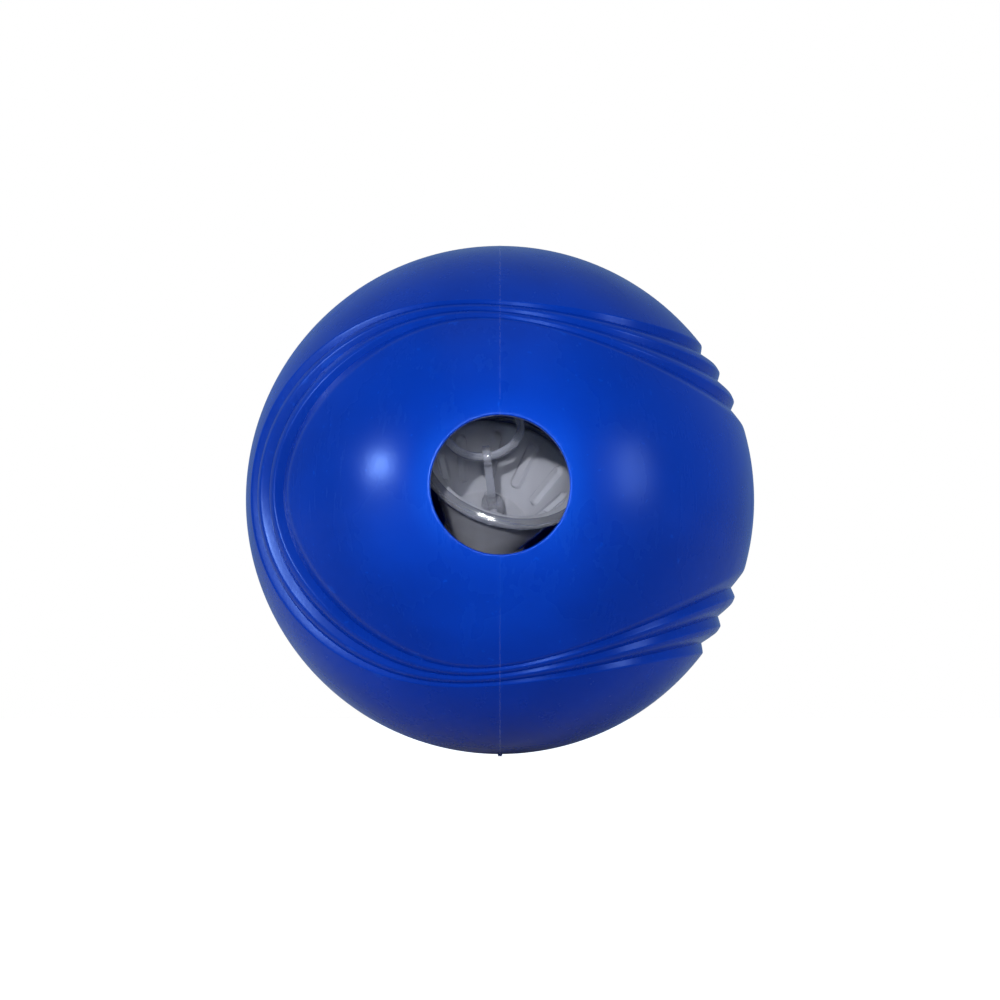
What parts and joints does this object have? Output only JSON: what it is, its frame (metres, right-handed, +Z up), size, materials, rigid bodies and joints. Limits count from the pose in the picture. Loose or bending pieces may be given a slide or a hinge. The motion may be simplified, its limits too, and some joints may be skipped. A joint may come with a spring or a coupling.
{
  "type": "dryer ball",
  "caption": "Hollow laundry ball with nested ridges, an open round mouth and a clear weighted stopper that a ring draws up to close it",
  "frame": {"origin": "Centre of the ball", "axes": "+Z up, the mouth faces -Y, +X to the right as the mouth is looked at from the front"},
  "size_m": [0.092, 0.0904, 0.0926],
  "materials": {
    "shell_left_half": "satin moulded, royal blue",
    "shell_right_half": "satin moulded, royal blue",
    "stopper_cup": "clear, glossy, slightly smoky",
    "seal_lip": "soft, clear, glossy",
    "weight_cap": "clear, slightly smoky",
    "weight_ball": "polished steel",
    "pull_link": "clear, glossy",
    "pull_ring": "clear, glossy"
  },
  "bodies": {
    "shell": {"shell_left_half": "shell_left_half", "shell_right_half": "shell_right_half"},
    "weight": {"weight_ball": "weight_ball"},
    "stopper": {"stopper_cup": "stopper_cup", "seal_lip": "seal_lip", "weight_cap": "weight_cap"},
    "link": {"pull_link": "pull_link"},
    "ring": {"pull_ring": "pull_ring"}
  },
  "joints": [
    {"name": "stopper_draw", "type": "slide", "parent": "shell", "child": "weight", "axis": [0.1814, -0.8657, 0.4665], "range_m": [0, 0.01929]},
    {"name": "stopper_tilt", "type": "hinge", "parent": "weight", "child": "stopper", "pos_m": [-0.0035, -0.004, -0.009], "axis": [0.9536, 0, -0.3011], "range_deg": [0, 48]},
    {"name": "link_lean", "type": "hinge", "parent": "stopper", "child": "link", "pos_m": [-0.00126, -0.01069, -0.00191], "axis": [-0.095, 0.7087, 0.6991], "range_deg": [0, 18]},
    {"name": "ring_swing", "type": "hinge", "parent": "link", "child": "ring", "pos_m": [-0.00231, -0.01916, 0.00653], "axis": [0.9917, 0.0061, 0.1286], "range_deg": [0, 35]}
  ],
  "couplings": [
    {"joint": "stopper_tilt", "follows": "stopper_draw", "rad_per_m": 43.428},
    {"joint": "link_lean", "follows": "stopper_draw", "rad_per_m": 16.285}
  ]
}
